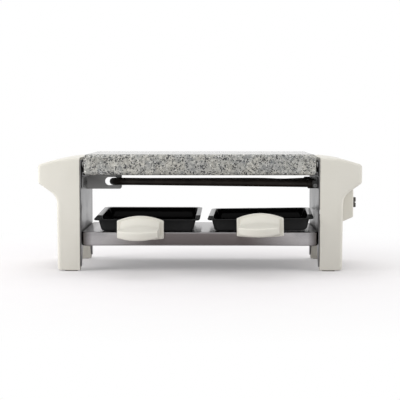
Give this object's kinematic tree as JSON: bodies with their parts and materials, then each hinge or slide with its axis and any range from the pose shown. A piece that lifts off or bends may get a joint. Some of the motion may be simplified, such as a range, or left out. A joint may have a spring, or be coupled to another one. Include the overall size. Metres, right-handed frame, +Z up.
{
  "type": "raclette grill",
  "caption": "Countertop raclette grill: granite slab on two plastic end casings, tubular heater, steel tray and small black pans with pale handles.",
  "frame": {"origin": "middle of the footprint, handles included, on the surface the grill stands on", "axes": "+X right along the slab as the user sees it, +Y away from the user, +Z up"},
  "size_m": [0.2798, 0.1488, 0.1008],
  "materials": {
    "cream_plastic": "fine satin texture, off-white",
    "granite": "polished top, honed edges, grey with black and pale grains",
    "brushed_steel": "brushed stainless sheet",
    "black_tube": "heat-darkened sheath, matt",
    "dark_sheet": "dark grey coated sheet",
    "pan_coating": "black non-stick coating, satin",
    "zinc_steel": "bright zinc plate",
    "black_rubber": "matt",
    "switch_black": "satin",
    "ceramic_white": "unglazed",
    "brown_lead": "silicone insulation",
    "blue_lead": "silicone insulation",
    "earth_lead": "silicone insulation"
  },
  "bodies": {
    "chassis": {"left_casing": "cream_plastic", "right_casing": "cream_plastic", "left_side_plate": "brushed_steel", "right_side_plate": "brushed_steel", "left_slab_rail": "brushed_steel", "right_slab_rail": "brushed_steel", "pan_tray": "brushed_steel", "heating_element": "black_tube", "front_element_collar": "black_tube", "back_element_collar": "black_tube", "front_terminal_pin": "zinc_steel", "back_terminal_pin": "zinc_steel", "element_bracket": "dark_sheet", "bracket_rivet_front": "zinc_steel", "bracket_rivet_back": "zinc_steel", "terminal_bracket": "dark_sheet", "terminal_rivet_front": "zinc_steel", "terminal_rivet_back": "zinc_steel", "terminal_tab_rivet": "zinc_steel", "front_left_foot": "black_rubber", "back_left_foot": "black_rubber", "front_right_foot": "black_rubber", "back_right_foot": "black_rubber", "front_left_plate_screw": "zinc_steel", "back_left_plate_screw": "zinc_steel", "front_right_plate_screw": "zinc_steel", "back_right_plate_screw": "zinc_steel", "front_left_tray_screw": "zinc_steel", "back_left_tray_screw": "zinc_steel", "front_right_tray_screw": "zinc_steel", "back_right_tray_screw": "zinc_steel", "switch_housing": "cream_plastic", "switch_body": "switch_black", "switch_live_terminal": "zinc_steel", "switch_load_terminal": "zinc_steel", "cord_gland": "black_rubber", "terminal_block": "ceramic_white", "thermal_cutout": "ceramic_white", "live_lead": "brown_lead", "switched_lead": "brown_lead", "element_lead": "brown_lead", "neutral_lead": "blue_lead", "earth_lead": "earth_lead", "left_screw_bar": "cream_plastic", "right_screw_bar": "cream_plastic", "front_left_screw_post": "cream_plastic", "back_left_screw_post": "cream_plastic", "front_right_screw_post": "cream_plastic", "back_right_screw_post": "cream_plastic"},
    "slab": {"granite_slab": "granite"},
    "left_pan_set": {"left_pan": "pan_coating", "left_pan_handle": "cream_plastic", "left_handle_tang": "zinc_steel", "left_handle_screw": "zinc_steel"},
    "right_pan_set": {"right_pan": "pan_coating", "right_pan_handle": "cream_plastic", "right_handle_tang": "zinc_steel", "right_handle_screw": "zinc_steel"},
    "rocker": {"switch_rocker": "switch_black"}
  },
  "joints": [
    {"name": "slab_lift", "type": "slide", "parent": "chassis", "child": "slab", "axis": [0, 0, 1], "range_m": [0, 0.05]},
    {"name": "left_pan_slide", "type": "slide", "parent": "chassis", "child": "left_pan_set", "axis": [0, -1, 0], "range_m": [0, 0.105]},
    {"name": "right_pan_slide", "type": "slide", "parent": "chassis", "child": "right_pan_set", "axis": [0, -1, 0], "range_m": [0, 0.105]},
    {"name": "rocker_tilt", "type": "hinge", "parent": "chassis", "child": "rocker", "pos_m": [0.1345, 0.02267, 0.0567], "axis": [0, 0, -1], "range_deg": [0, 12]}
  ]
}
